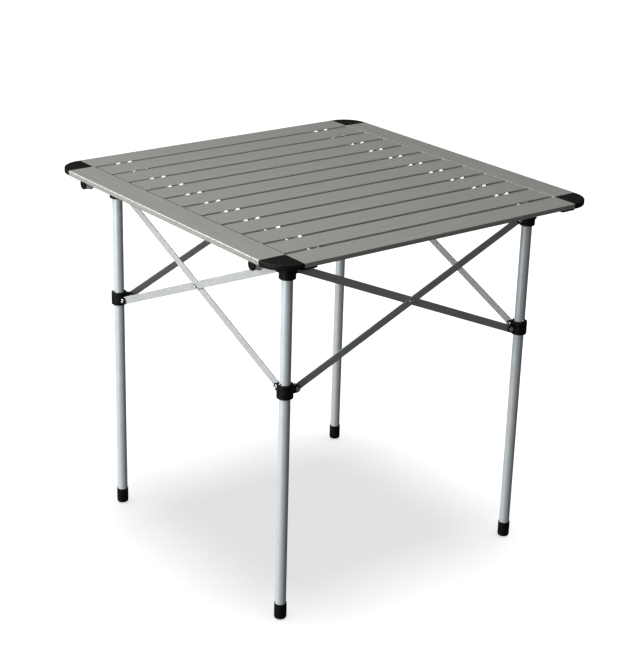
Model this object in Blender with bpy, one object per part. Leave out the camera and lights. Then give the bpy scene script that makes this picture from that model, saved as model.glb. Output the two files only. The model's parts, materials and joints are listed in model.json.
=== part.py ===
# Camping table: a slatted aluminium top that lifts off a folding scissor frame.
# Metres. +X runs along the slats, +Y to the rear, +Z up, the origin is on the floor under the middle.

import math

import bmesh
import bpy
from mathutils import Matrix, Vector

# Clearances
SEAT_GAP = 0.0003          # between pieces that rest on or in each other
PIN_CLEARANCE = 0.0003     # round a pin, in each hole that it passes through
BRACE_CROSS_GAP = 0.0004   # between the two braces where they cross
BRACE_SWING_GAP = 0.0005   # between an upright brace and the drum of its head or slider

# Table top
TABLE_HEIGHT = 0.693
PANEL_THICKNESS = 0.010
SLAT_COUNT = 12
SLAT_WIDTH = 0.052
SLAT_SPACING = 0.008
SLAT_LENGTH = 0.598
SLAT_END_GAP = 0.001       # from the end of a slat to the side rail
SLAT_WALL = 0.001
SLAT_LIP = 0.0035          # turned in along the foot of each flange
SLAT_EDGE_RADIUS = 0.0014
NOTCH_WIDTH = 0.0095       # cord notch, open at the foot of the flange
NOTCH_CORNER = 0.003
NOTCH_DROP = 0.0012        # from the top of the slat to the top of the notch
NOTCH_SETBACKS = (0.0525, 0.0775)   # from the end of an inner slat to the middles of its notches
CORD_DIAMETER = 0.0024

RAIL_WIDTH = 0.0525
RAIL_WALL = 0.0012
RAIL_EDGE_RADIUS = 0.0016
LEDGE_WIDTH = 0.012        # carries the ends of the slats
LEDGE_THICKNESS = 0.0015

CORNER_FLAT = 0.004        # straight stretch on each side of a corner cap's round
CORNER_EDGE_RADIUS = 0.0018
CORNER_TONGUE = 0.020      # length that plugs into the rail and into the edge slat
CORNER_RIB = 0.0016
CLIP_REACH = 0.028         # of the clip under a corner cap, along the edge slat
CLIP_WIDTH = 0.009
CLIP_DROP = 0.003          # below the underside of the top
CLIP_ROUNDING = 0.002

# Bars under the top, which rest in the leg heads
BAR_DIAMETER = 0.019
BAR_WALL = 0.0012
BAR_END_SETBACK = 0.0095   # from the outer side of the rail to the end of the bar's cap
BAR_CAP_THICKNESS = 0.003
BAR_CAP_EDGE = 0.0012
BAR_CAP_PLUG = 0.009
SCREW_DIAMETER = 0.004
SCREW_HEAD_DIAMETER = 0.008
SCREW_HEAD_HEIGHT = 0.0016
SCREW_REACH = 0.003        # above the floor of the rail

# Legs and feet
LEG_SETBACK = 0.086        # from the front and rear edges of the top to the axes of the legs
LEG_DIAMETER = 0.0195
LEG_WALL = 0.0012
STOP_DIAMETER = 0.0052     # rivet in the leg, above the slider, which the open frame rests against
STOP_RISE = 0.0015
FOOT_WALL = 0.00115
FOOT_HEIGHT = 0.0305
FOOT_FLOOR = 0.006
FOOT_ROUNDING = 0.0045
FOOT_RIM_CHAMFER = 0.0006

# Plastic heads and sliders, each with two forked ears for the braces
DRUM_WALL = 0.00445
DRUM_HEIGHT = 0.025
DRUM_CHAMFER = 0.001
EAR_RADIUS = 0.0075
EAR_CHEEK = 0.004
HEAD_PIN_DROP = 0.014      # from the seat of the bar to the head pins
HEAD_ROOF = 0.0028         # plastic between the leg's end and the bar
SADDLE_LIP = 0.003         # wall on the inner side of the bar
SADDLE_LIP_RISE = 0.0055   # of that wall, above the bar's axis
SADDLE_CORNER = 0.009

# Braces: two crossing flat bars on each side of the frame
BRACE_WIDTH = 0.014
BRACE_THICKNESS = 0.0025
BRACE_EDGE = 0.0007
BRACE_RISE = 0.212         # from the slider pins up to the head pins, frame open
CROSS_INSET = 0.0008       # from the plane of a side's leg axes inward, to midway between its two braces
PIN_DIAMETER = 0.005
PIN_HEAD_DIAMETER = 0.009
PIN_HEAD_HEIGHT = 0.0014
PIN_HEAD_SINK = 0.0002     # of a pin's heads into the ear that holds it

# Facets
TUBE_SIDES = 20
MOULDED_SIDES = 18
PIN_SIDES = 8
CORD_SIDES = 6
CUT_MARGIN = 0.002         # how far a cutter runs past the face that it opens

# Places and sizes that follow from the ones above
PANEL_UNDERSIDE = TABLE_HEIGHT - PANEL_THICKNESS
SLAT_PITCH = SLAT_WIDTH + SLAT_SPACING
SLAT_HEIGHT = PANEL_THICKNESS - LEDGE_THICKNESS - SEAT_GAP
PANEL_HALF_DEPTH = (SLAT_COUNT * SLAT_PITCH - SLAT_SPACING) / 2
EDGE_SLAT_INNER = PANEL_HALF_DEPTH - SLAT_WIDTH
RAIL_INNER = SLAT_LENGTH / 2 + SLAT_END_GAP
RAIL_OUTER = RAIL_INNER + RAIL_WIDTH
RAIL_MIDDLE = (RAIL_INNER + RAIL_OUTER) / 2
RAIL_LENGTH = 2 * (EDGE_SLAT_INNER - SEAT_GAP)
EDGE_SLAT_LENGTH = 2 * (RAIL_INNER - SEAT_GAP)
CORNER_RADIUS = min(RAIL_WIDTH, SLAT_WIDTH) - CORNER_FLAT
NOTCH_PLACES = [SLAT_LENGTH / 2 - setback for setback in NOTCH_SETBACKS]
CORD_RADIUS = CORD_DIAMETER / 2
CORD_Z = TABLE_HEIGHT - SLAT_HEIGHT + SLAT_WALL + SEAT_GAP + CORD_RADIUS
BAR_RADIUS = BAR_DIAMETER / 2
BAR_AXIS_Z = PANEL_UNDERSIDE - SEAT_GAP - BAR_RADIUS
BAR_LENGTH = 2 * (RAIL_OUTER - BAR_END_SETBACK - BAR_CAP_THICKNESS)
LEG_PLACE = PANEL_HALF_DEPTH - LEG_SETBACK
SADDLE_FLOOR = BAR_AXIS_Z - BAR_RADIUS - SEAT_GAP
HEAD_PIN_Z = SADDLE_FLOOR - HEAD_PIN_DROP
SLIDER_PIN_Z = HEAD_PIN_Z - BRACE_RISE
CROSS_Z = HEAD_PIN_Z - BRACE_RISE / 2
LEG_BOTTOM = FOOT_FLOOR + SEAT_GAP
LEG_TOP = SADDLE_FLOOR - HEAD_ROOF - SEAT_GAP
BORE_RADIUS = LEG_DIAMETER / 2 + SEAT_GAP
FOOT_RADIUS = BORE_RADIUS + FOOT_WALL
DRUM_RADIUS = BORE_RADIUS + DRUM_WALL
STOP_RADIUS = STOP_DIAMETER / 2
STOP_Z = SLIDER_PIN_Z + DRUM_HEIGHT / 2 + SEAT_GAP + STOP_RADIUS
PIN_RADIUS = PIN_DIAMETER / 2
HOLE_RADIUS = PIN_RADIUS + PIN_CLEARANCE
SCREW_HOLE_RADIUS = SCREW_DIAMETER / 2 + PIN_CLEARANCE
PIN_OFFSET = DRUM_RADIUS + BRACE_SWING_GAP + BRACE_WIDTH / 2
PIN_PLACE = LEG_PLACE - PIN_OFFSET
BRACE_ANGLE = math.atan2(BRACE_RISE, 2 * PIN_PLACE)
BRACE_HALF_PIN = math.hypot(BRACE_RISE, 2 * PIN_PLACE) / 2
EAR_WIDTH = BRACE_THICKNESS + 2 * (SEAT_GAP + EAR_CHEEK)
INNER_INSET = CROSS_INSET + (BRACE_CROSS_GAP + BRACE_THICKNESS) / 2
OUTER_INSET = CROSS_INSET - (BRACE_CROSS_GAP + BRACE_THICKNESS) / 2

# Sides in the order of the quarter turns that lead to them, each with the corner that it starts from
FRONT, RIGHT, REAR, LEFT = range(4)
SIDES = ("front", "right", "rear", "left")
CORNERS = ("front_left", "front_right", "rear_right", "rear_left")
STOP_SIDES = (LEFT, FRONT, RIGHT, LEFT)   # side that the stop rivet of each corner's leg faces


# Outlines

def arc(centre, radius, start_degrees, end_degrees, steps):
    """Points of a circular arc, both ends included."""
    points = []
    for step in range(steps + 1):
        angle = math.radians(start_degrees + (end_degrees - start_degrees) * step / steps)
        points.append((centre[0] + radius * math.cos(angle), centre[1] + radius * math.sin(angle)))
    return points


def rounded_rectangle(low, high, radius, steps):
    """Rectangle between two corners, its four corners rounded."""
    left, front = low[0] + radius, low[1] + radius
    right, rear = high[0] - radius, high[1] - radius
    return (arc((right, front), radius, -90, 0, steps) + arc((right, rear), radius, 0, 90, steps)
            + arc((left, rear), radius, 90, 180, steps) + arc((left, front), radius, 180, 270, steps))


# Solids, as Blender meshes

def finish_mesh(bm, name):
    """Turns a bmesh into a mesh with its faces outward."""
    bmesh.ops.recalc_face_normals(bm, faces=bm.faces)
    mesh = bpy.data.meshes.new(name)
    bm.to_mesh(mesh)
    bm.free()
    return mesh


def prism(outline, low, high, axis="Z"):
    """Extrudes an outline from low to high along an axis.

    The outline's coordinates are (x, y) for Z, (x, z) for Y and (y, z) for X.
    """
    place = {"Z": lambda a, b, c: (a, b, c), "Y": lambda a, b, c: (a, c, b), "X": lambda a, b, c: (c, a, b)}[axis]
    bm = bmesh.new()
    face = bm.faces.new([bm.verts.new(place(a, b, low)) for a, b in outline])
    raised = bmesh.ops.extrude_face_region(bm, geom=[face])["geom"]
    verts = [item for item in raised if isinstance(item, bmesh.types.BMVert)]
    bmesh.ops.translate(bm, vec=Vector(place(0.0, 0.0, high - low)), verts=verts)
    return finish_mesh(bm, "prism")


def box(low, high):
    """Box between two corners."""
    outline = [(low[0], low[1]), (high[0], low[1]), (high[0], high[1]), (low[0], high[1])]
    return prism(outline, low[2], high[2])


def bevelled_prism(outline, low, high, axis, width, segments):
    """Prism whose two rims are bevelled."""
    bm = bmesh.new()
    bm.from_mesh(prism(outline, low, high, axis))
    index = "XYZ".index(axis)
    rims = [edge for edge in bm.edges if abs(edge.verts[0].co[index] - edge.verts[1].co[index]) < 1e-6]
    bmesh.ops.bevel(bm, geom=rims, offset=width, segments=segments, affect="EDGES", profile=0.5)
    return finish_mesh(bm, "bevelled_prism")


def skin(bm, rings):
    """Closes a surface over rings of vertices, the last ring joined to the first; one vertex is a pole."""
    sides = max(len(ring) for ring in rings)
    for lower, upper in zip(rings, rings[1:] + rings[:1]):
        for index in range(sides):
            following = (index + 1) % sides
            corners = []
            for vert in (lower[index % len(lower)], lower[following % len(lower)],
                         upper[following % len(upper)], upper[index % len(upper)]):
                if vert not in corners:
                    corners.append(vert)
            if len(corners) > 2:
                bm.faces.new(corners)


def turned(profile, sides):
    """Solid of revolution about Z from a closed profile of (radius, height) points."""
    bm = bmesh.new()
    rings = []
    for radius, height in profile:
        turns = [2 * math.pi * index / sides for index in range(sides if radius > 0 else 1)]
        rings.append([bm.verts.new((radius * math.cos(turn), radius * math.sin(turn), height)) for turn in turns])
    skin(bm, rings)
    return finish_mesh(bm, "turned")


def cylinder(radius, low, high, sides):
    """Plain cylinder about Z."""
    return turned([(0, low), (radius, low), (radius, high), (0, high)], sides)


def looped_tube(path, radius, sides):
    """Round tube along a closed path in the plane z = 0."""
    bm = bmesh.new()
    rings = []
    for index, (x, y) in enumerate(path):
        ahead, behind = path[(index + 1) % len(path)], path[index - 1]
        along = Vector((ahead[0] - behind[0], ahead[1] - behind[1])).normalized()
        ring = []
        for step in range(sides):
            turn = 2 * math.pi * step / sides
            out = radius * math.cos(turn)
            ring.append(bm.verts.new((x + along.y * out, y - along.x * out, radius * math.sin(turn))))
        rings.append(ring)
    skin(bm, rings)
    return finish_mesh(bm, "loop")


def moved(mesh, matrix):
    """Copy of a mesh, moved, turned or mirrored by a matrix."""
    copy = mesh.copy()
    copy.transform(matrix)
    if matrix.determinant() < 0:
        copy.flip_normals()
    return copy


def combined(body, additions=(), cutters=()):
    """Boolean union of a body with the additions, then cut by the cutters."""
    target = bpy.data.objects.new("blank", body)
    bpy.context.collection.objects.link(target)
    tools = []
    for operation, meshes in (("UNION", additions), ("DIFFERENCE", cutters)):
        for mesh in meshes:
            tool = bpy.data.objects.new("tool", mesh)
            bpy.context.collection.objects.link(tool)
            tools.append(tool)
            modifier = target.modifiers.new(operation, "BOOLEAN")
            modifier.operation = operation
            modifier.solver = "EXACT"
            modifier.object = tool
    shaped = target.evaluated_get(bpy.context.evaluated_depsgraph_get())
    result = bpy.data.meshes.new_from_object(shaped)
    for item in [target] + tools:
        bpy.data.objects.remove(item)
    return result


def along_x(place):
    """Matrix that lays a piece made about Z along +X, at a place."""
    return Matrix.Translation(place) @ Matrix.Rotation(math.pi / 2, 4, "Y")


def along_y(place):
    """Matrix that lays a piece made about Z along +Y, at a place."""
    return Matrix.Translation(place) @ Matrix.Rotation(-math.pi / 2, 4, "X")


# Mirror in the plane x = y, which takes a piece from one side of a corner to the other
SWAP = Matrix(((0, 1, 0, 0), (1, 0, 0, 0), (0, 0, 1, 0), (0, 0, 0, 1)))


# Materials and objects

def material(name, colour, roughness, metallic):
    """Principled material of one colour."""
    made = bpy.data.materials.new(name)
    made.use_nodes = True
    shader = made.node_tree.nodes["Principled BSDF"]
    shader.inputs["Base Color"].default_value = (*colour, 1.0)
    shader.inputs["Roughness"].default_value = roughness
    shader.inputs["Metallic"].default_value = metallic
    return made


def body_empty(name, place):
    """Empty on a body's joint axis, which carries the body's pieces."""
    empty = bpy.data.objects.new(name, None)
    empty.empty_display_size = 0.03
    empty.location = place
    bpy.context.collection.objects.link(empty)
    return empty


def add_piece(name, mesh, finish, parent, place=(0, 0, 0), turn=0.0):
    """Places one sub-part of the table, in world coordinates, on the empty of its body."""
    piece = bpy.data.objects.new(name, mesh)
    piece.location = place
    piece.rotation_euler = (0, 0, turn)
    piece.parent = parent
    piece.matrix_parent_inverse = Matrix.Translation(parent.location).inverted()
    mesh.materials.clear()
    mesh.materials.append(finish)
    mesh.shade_smooth()
    mesh.set_sharp_from_angle(angle=math.radians(35))
    bpy.context.collection.objects.link(piece)


# Table top pieces

def slat_mesh(length, outer_side_notched):
    """Open channel with lips, its top face at z = 0, with arched notches for the cords.

    The flange at +Y always has notches. The one at -Y is left whole on an edge slat.
    """
    half, wall, foot, edge = SLAT_WIDTH / 2, SLAT_WALL, -SLAT_HEIGHT, SLAT_EDGE_RADIUS
    outline = [(half, foot)]
    outline += arc((half - edge, -edge), edge, 0, 90, 2)
    outline += arc((edge - half, -edge), edge, 90, 180, 2)
    outline += [(-half, foot), (SLAT_LIP - half, foot), (SLAT_LIP - half, foot + wall), (wall - half, foot + wall),
                (wall - half, -wall), (half - wall, -wall), (half - wall, foot + wall),
                (half - SLAT_LIP, foot + wall), (half - SLAT_LIP, foot)]
    channel = prism(outline, -length / 2, length / 2, "X")
    side, top = NOTCH_WIDTH / 2, -NOTCH_DROP
    arch = [(-side, foot - CUT_MARGIN), (side, foot - CUT_MARGIN)]
    arch += arc((side - NOTCH_CORNER, top - NOTCH_CORNER), NOTCH_CORNER, 0, 90, 1)
    arch += arc((NOTCH_CORNER - side, top - NOTCH_CORNER), NOTCH_CORNER, 90, 180, 1)
    cutter = prism(arch, -half - CUT_MARGIN if outer_side_notched else 0.0, half + CUT_MARGIN, "Y")
    places = [sign * place for place in NOTCH_PLACES for sign in (-1, 1)]
    return combined(channel, cutters=[moved(cutter, Matrix.Translation((x, 0, 0))) for x in places])


def rail_mesh():
    """Hollow side rail at +X, its top face at z = 0, with the ledge that carries the slats."""
    edge, foot, half = RAIL_EDGE_RADIUS, -PANEL_THICKNESS, RAIL_LENGTH / 2
    outline = [(RAIL_INNER - LEDGE_WIDTH, foot)]
    outline += arc((RAIL_OUTER - edge, foot + edge), edge, -90, 0, 3)
    outline += arc((RAIL_OUTER - edge, -edge), edge, 0, 90, 3)
    outline += arc((RAIL_INNER + SLAT_EDGE_RADIUS, -SLAT_EDGE_RADIUS), SLAT_EDGE_RADIUS, 90, 180, 3)
    outline += [(RAIL_INNER, foot + LEDGE_THICKNESS), (RAIL_INNER - LEDGE_WIDTH, foot + LEDGE_THICKNESS)]
    hollow = box((RAIL_INNER + RAIL_WALL, -half - CUT_MARGIN, foot + RAIL_WALL),
                 (RAIL_OUTER - RAIL_WALL, half + CUT_MARGIN, -RAIL_WALL))
    hole = cylinder(SCREW_HOLE_RADIUS, foot - CUT_MARGIN, foot + RAIL_WALL + CUT_MARGIN, PIN_SIDES)
    holes = [moved(hole, Matrix.Translation((RAIL_MIDDLE, sign * LEG_PLACE, 0))) for sign in (-1, 1)]
    return combined(prism(outline, -half, half, "Y"), cutters=[hollow] + holes)


def corner_mesh():
    """Corner cap at +X +Y, top face at z = 0, with its tongues in the rail and in the edge slat.

    A clip at its underside runs on behind the outer lip of the edge slat.
    """
    foot, rib = -PANEL_THICKNESS, CORNER_RIB
    outline = [(RAIL_INNER, EDGE_SLAT_INNER), (RAIL_OUTER, EDGE_SLAT_INNER)]
    outline += arc((RAIL_OUTER - CORNER_RADIUS, PANEL_HALF_DEPTH - CORNER_RADIUS), CORNER_RADIUS, 0, 90, 10)
    outline += [(RAIL_INNER, PANEL_HALF_DEPTH)]
    plate = bevelled_prism(outline, foot, 0.0, "Z", CORNER_EDGE_RADIUS, 2)
    rail_room, slat_room = RAIL_WALL + SEAT_GAP, SLAT_WALL + SEAT_GAP
    rail_tongue = box((RAIL_INNER + rail_room, EDGE_SLAT_INNER - CORNER_TONGUE, foot + rail_room),
                      (RAIL_OUTER - rail_room, EDGE_SLAT_INNER + CORNER_EDGE_RADIUS, -rail_room))
    slat_tongue = box((RAIL_INNER - CORNER_TONGUE, EDGE_SLAT_INNER + slat_room, slat_room - SLAT_HEIGHT),
                      (RAIL_INNER + CORNER_EDGE_RADIUS, PANEL_HALF_DEPTH - slat_room, -slat_room))
    tip, low = RAIL_INNER - CLIP_REACH, foot - CLIP_DROP
    root, crown = RAIL_INNER + 2 * CLIP_DROP, slat_room + rib - SLAT_HEIGHT
    side = [(root, foot + rib), (RAIL_INNER + CLIP_DROP, low)]
    side += arc((tip + CLIP_ROUNDING, low + CLIP_ROUNDING), CLIP_ROUNDING, 270, 180, 3)
    side += [(tip, crown), (root, crown)]
    clip_outer = PANEL_HALF_DEPTH - SLAT_LIP - SEAT_GAP
    clip = prism(side, clip_outer - CLIP_WIDTH, clip_outer, "Y")
    pocket_spans = ((RAIL_INNER + rail_room + rib, RAIL_MIDDLE - rib / 2),
                    (RAIL_MIDDLE + rib / 2, RAIL_OUTER - rail_room - rib))
    pockets = [box((low, EDGE_SLAT_INNER - CORNER_TONGUE - CUT_MARGIN, foot + rail_room + rib),
                   (high, EDGE_SLAT_INNER - rib, -rail_room - rib)) for low, high in pocket_spans]
    return combined(plate, additions=[rail_tongue, slat_tongue, clip], cutters=pockets)


def cord_mesh():
    """Elastic loop at +X, round the webs between the notches of the two edge slats."""
    reach = CORD_RADIUS + SEAT_GAP
    end = EDGE_SLAT_INNER + SLAT_WALL + reach
    near = min(NOTCH_PLACES) + NOTCH_WIDTH / 2 - reach
    far = max(NOTCH_PLACES) - NOTCH_WIDTH / 2 + reach
    return looped_tube(rounded_rectangle((near, -end), (far, end), reach, 3), CORD_RADIUS, CORD_SIDES)


def bar_mesh():
    """Round tube along X about the origin, drilled for its two screws."""
    inner, half = BAR_RADIUS - BAR_WALL, BAR_LENGTH / 2
    tube = turned([(inner, -half), (BAR_RADIUS, -half), (BAR_RADIUS, half), (inner, half)], TUBE_SIDES)
    hole = cylinder(SCREW_HOLE_RADIUS, -BAR_RADIUS - CUT_MARGIN, BAR_RADIUS + CUT_MARGIN, PIN_SIDES)
    holes = [moved(hole, Matrix.Translation((sign * RAIL_MIDDLE, 0, 0))) for sign in (-1, 1)]
    half_facet = Matrix.Rotation(math.pi / TUBE_SIDES, 4, "Z")
    return combined(moved(tube, along_x((0, 0, 0)) @ half_facet), cutters=holes)


def bar_cap_mesh():
    """End plug along +X: a rounded disc over the end of the bar, at x = 0, and a stem inside it."""
    stem, edge = BAR_RADIUS - BAR_WALL - SEAT_GAP, BAR_CAP_EDGE
    profile = [(0, -BAR_CAP_PLUG), (stem, -BAR_CAP_PLUG), (stem, SEAT_GAP), (BAR_RADIUS, SEAT_GAP)]
    profile += arc((BAR_RADIUS - edge, BAR_CAP_THICKNESS - edge), edge, 0, 90, 2)
    profile += [(0, BAR_CAP_THICKNESS)]
    return moved(turned(profile, MOULDED_SIDES), along_x((0, 0, 0)))


def screw_mesh():
    """Screw about Z that holds the bar to the rail, z = 0 at the bar's axis."""
    seat, head, shank = -BAR_RADIUS - SEAT_GAP, SCREW_HEAD_DIAMETER / 2, SCREW_DIAMETER / 2
    tip = PANEL_UNDERSIDE + RAIL_WALL + SCREW_REACH - BAR_AXIS_Z
    profile = [(0, seat - SCREW_HEAD_HEIGHT), (head * 0.6, seat - SCREW_HEAD_HEIGHT * 0.85),
               (head, seat - SCREW_HEAD_HEIGHT * 0.3), (head, seat), (shank, seat), (shank, tip - shank / 2),
               (shank / 2, tip), (0, tip)]
    return turned(profile, PIN_SIDES)


# Frame pieces

def leg_mesh():
    """Leg tube about Z, joined with the stop rivet in its wall at -Y."""
    outer = LEG_DIAMETER / 2
    inner = outer - LEG_WALL
    tube = turned([(inner, LEG_BOTTOM), (outer, LEG_BOTTOM), (outer, LEG_TOP), (inner, LEG_TOP)], TUBE_SIDES)
    root, crown = outer - LEG_WALL / 2, outer + STOP_RISE
    stop = turned([(0, root), (STOP_RADIUS, root), (STOP_RADIUS, outer + STOP_RISE / 3),
                   (STOP_RADIUS * 0.7, crown - STOP_RISE / 5), (0, crown)], PIN_SIDES)
    toward_front = Matrix.Translation((0, 0, STOP_Z)) @ Matrix.Rotation(math.pi / 2, 4, "X")
    return combined(tube, additions=[moved(stop, toward_front)])


def foot_mesh():
    """Plastic cup over the lower end of a leg, rounded below."""
    profile = [(0, 0), (FOOT_RADIUS - FOOT_ROUNDING, 0)]
    profile += arc((FOOT_RADIUS - FOOT_ROUNDING, FOOT_ROUNDING), FOOT_ROUNDING, -60, 0, 2)
    profile += [(FOOT_RADIUS, FOOT_HEIGHT - FOOT_RIM_CHAMFER), (FOOT_RADIUS - FOOT_RIM_CHAMFER, FOOT_HEIGHT),
                (BORE_RADIUS, FOOT_HEIGHT), (BORE_RADIUS, FOOT_FLOOR), (0, FOOT_FLOOR)]
    return turned(profile, MOULDED_SIDES)


def drum_mesh(pin_z):
    """Chamfered drum about a leg's axis, centred on the height of its pins, solid until it is bored."""
    low, high, rim = pin_z - DRUM_HEIGHT / 2, pin_z + DRUM_HEIGHT / 2, DRUM_RADIUS - DRUM_CHAMFER
    return turned([(0, low), (rim, low), (DRUM_RADIUS, low + DRUM_CHAMFER), (DRUM_RADIUS, high - DRUM_CHAMFER),
                   (rim, high), (0, high)], MOULDED_SIDES)


def rivet_mesh(half_grip):
    """Domed rivet about Z, centred, with this distance from its middle to the underside of each head."""
    head, rise = PIN_HEAD_DIAMETER / 2, PIN_HEAD_HEIGHT
    dome = [(PIN_RADIUS, half_grip), (head, half_grip), (head * 0.8, half_grip + rise * 0.75),
            (0, half_grip + rise)]
    return turned([(radius, -height) for radius, height in reversed(dome)] + dome, PIN_SIDES)


def ear_tools(inset, pin_z):
    """An ear along +X for a brace at this inset along +Y: its block, the cutter of its slot, and its pin."""
    half, slot_half = EAR_WIDTH / 2, BRACE_THICKNESS / 2 + SEAT_GAP
    outline = [(0, pin_z - EAR_RADIUS)] + arc((PIN_OFFSET, pin_z), EAR_RADIUS, -90, 90, 6)
    outline += [(0, pin_z + EAR_RADIUS)]
    block = prism(outline, inset - half, inset + half, "Y")
    slot = box((PIN_OFFSET - BRACE_WIDTH / 2 - SEAT_GAP, inset - slot_half, pin_z - EAR_RADIUS - CUT_MARGIN),
               (PIN_OFFSET + EAR_RADIUS + CUT_MARGIN, inset + slot_half, pin_z + EAR_RADIUS + CUT_MARGIN))
    pin = rivet_mesh(half - PIN_HEAD_SINK)
    return block, slot, moved(pin, along_y((PIN_OFFSET, inset, pin_z)))


def with_ears(drum, inset_x, inset_y, pin_z, additions, cutters):
    """A drum with an ear along +X and one along +Y, after the cuts joined with the pins that they hold."""
    ears = [ear_tools(inset_x, pin_z), [moved(mesh, SWAP) for mesh in ear_tools(inset_y, pin_z)]]
    blocks, slots, pins = zip(*ears)
    body = combined(drum, additions=[*additions, *blocks], cutters=[*cutters, *slots])
    return combined(body, additions=pins)


def slider_mesh():
    """Slider about the axis of its leg: the ear along +X takes an outer brace, the other an inner one."""
    half = DRUM_HEIGHT / 2 + CUT_MARGIN
    bore = cylinder(BORE_RADIUS, SLIDER_PIN_Z - half, SLIDER_PIN_Z + half, MOULDED_SIDES)
    return with_ears(drum_mesh(SLIDER_PIN_Z), OUTER_INSET, INNER_INSET, SLIDER_PIN_Z, [], [bore])


def saddle_tools():
    """Block under a bar that runs along X, on top of a head, and the cutter of its cradle.

    A wall stands on the +Y side of the bar, toward the middle of the table. The other side is open and
    level with the underside of the bar, so that the head can draw in below the top as the frame folds.
    """
    trough = BAR_RADIUS + SEAT_GAP
    top, reach = BAR_AXIS_Z + SADDLE_LIP_RISE, DRUM_RADIUS + CUT_MARGIN
    plan = rounded_rectangle((-DRUM_RADIUS, -DRUM_RADIUS), (DRUM_RADIUS, trough + SADDLE_LIP), SADDLE_CORNER, 4)
    cradle = arc((0, BAR_AXIS_Z), trough, -90, 0, 6)
    cradle += [(trough, top + CUT_MARGIN), (-reach, top + CUT_MARGIN), (-reach, SADDLE_FLOOR)]
    return prism(plan, HEAD_PIN_Z, top), prism(cradle, -reach, reach, "X")


def head_mesh(bar_runs_along_x):
    """Head about the axis of its leg: the ear along +X takes an inner brace, the other an outer one."""
    saddle = saddle_tools()
    if not bar_runs_along_x:
        saddle = [moved(mesh, SWAP) for mesh in saddle]
    bore = cylinder(BORE_RADIUS, HEAD_PIN_Z - DRUM_HEIGHT / 2 - CUT_MARGIN, LEG_TOP + SEAT_GAP, MOULDED_SIDES)
    return with_ears(drum_mesh(HEAD_PIN_Z), INNER_INSET, OUTER_INSET, HEAD_PIN_Z, [saddle[0]], [saddle[1], bore])


def brace_mesh(inset, lean):
    """Flat bar of the front side with round ends, turned by the angle lean about its middle."""
    half_width, half_thick = BRACE_WIDTH / 2, BRACE_THICKNESS / 2
    outline = arc((BRACE_HALF_PIN, 0), half_width, -90, 90, 6) + arc((-BRACE_HALF_PIN, 0), half_width, 90, 270, 6)
    flat = bevelled_prism(outline, -half_thick, half_thick, "Y", BRACE_EDGE, 1)
    hole = cylinder(HOLE_RADIUS, -half_thick - CUT_MARGIN, half_thick + CUT_MARGIN, PIN_SIDES)
    holes = [moved(hole, along_y((x, 0, 0))) for x in (-BRACE_HALF_PIN, 0, BRACE_HALF_PIN)]
    place = Matrix.Translation((0, inset - LEG_PLACE, CROSS_Z))
    return moved(combined(flat, cutters=holes), place @ Matrix.Rotation(lean, 4, "Y"))


def cross_rivet_mesh():
    """Rivet where the two braces of the front side cross."""
    rivet = rivet_mesh(BRACE_THICKNESS + BRACE_CROSS_GAP / 2 + SEAT_GAP)
    return moved(rivet, along_y((0, CROSS_INSET - LEG_PLACE, CROSS_Z)))


# Assembly

def turned_place(place, side):
    """A place on the front side, carried to another side by quarter turns about the middle."""
    return Matrix.Rotation(side * math.pi / 2, 4, "Z") @ Vector(place)


def pin_place(side, across, z):
    """Point on a pin of a side: across is -1 at the side's starting corner, 0 midway, 1 at its other corner."""
    return turned_place((across * PIN_PLACE, CROSS_INSET - LEG_PLACE, z), side)


def build_top(slat_metal, tube_metal, plastic, steel, elastic):
    """Slats, rails, corner caps and bars, with the cords and screws that hold them."""
    top = body_empty("top_body", (0, 0, PANEL_UNDERSIDE))
    surface = Vector((0, 0, TABLE_HEIGHT))
    inner_slat, edge_slat = slat_mesh(SLAT_LENGTH, True), slat_mesh(EDGE_SLAT_LENGTH, False)
    for number in range(SLAT_COUNT):
        slat = edge_slat if number in (0, SLAT_COUNT - 1) else inner_slat
        turn = math.pi if number == SLAT_COUNT - 1 else 0.0
        y = SLAT_WIDTH / 2 - PANEL_HALF_DEPTH + number * SLAT_PITCH
        add_piece(f"slat_{number + 1:02d}", slat, slat_metal, top, surface + Vector((0, y, 0)), turn)
    rail = rail_mesh()
    add_piece("rail_right", rail, slat_metal, top, surface)
    add_piece("rail_left", rail, slat_metal, top, surface, math.pi)
    cap = corner_mesh()
    other_cap = moved(cap, Matrix.Scale(-1, 4, (1, 0, 0)))
    add_piece("corner_cap_rear_right", cap, plastic, top, surface)
    add_piece("corner_cap_front_left", cap, plastic, top, surface, math.pi)
    add_piece("corner_cap_rear_left", other_cap, plastic, top, surface)
    add_piece("corner_cap_front_right", other_cap, plastic, top, surface, math.pi)
    cord = cord_mesh()
    add_piece("elastic_cord_right", cord, elastic, top, (0, 0, CORD_Z))
    add_piece("elastic_cord_left", cord, elastic, top, (0, 0, CORD_Z), math.pi)
    bar, end_cap, screw = bar_mesh(), bar_cap_mesh(), screw_mesh()
    for bar_name, y in (("front", -LEG_PLACE), ("rear", LEG_PLACE)):
        add_piece(f"bar_{bar_name}", bar, tube_metal, top, (0, y, BAR_AXIS_Z))
        for end_name, sign, turn in (("left", -1, math.pi), ("right", 1, 0.0)):
            end = f"{bar_name}_{end_name}"
            add_piece(f"bar_cap_{end}", end_cap, plastic, top, (sign * BAR_LENGTH / 2, y, BAR_AXIS_Z), turn)
            add_piece(f"bar_screw_{end}", screw, steel, top, (sign * RAIL_MIDDLE, y, BAR_AXIS_Z))


def leg_body_place(corner):
    """A leg swings on the pin that joins it to the legs before it: the chain of legs starts at the front left."""
    return pin_place(*{"front_left": (FRONT, -1), "front_right": (FRONT, 1),
                       "rear_right": (REAR, -1), "rear_left": (LEFT, -1)}[corner], HEAD_PIN_Z)


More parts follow.
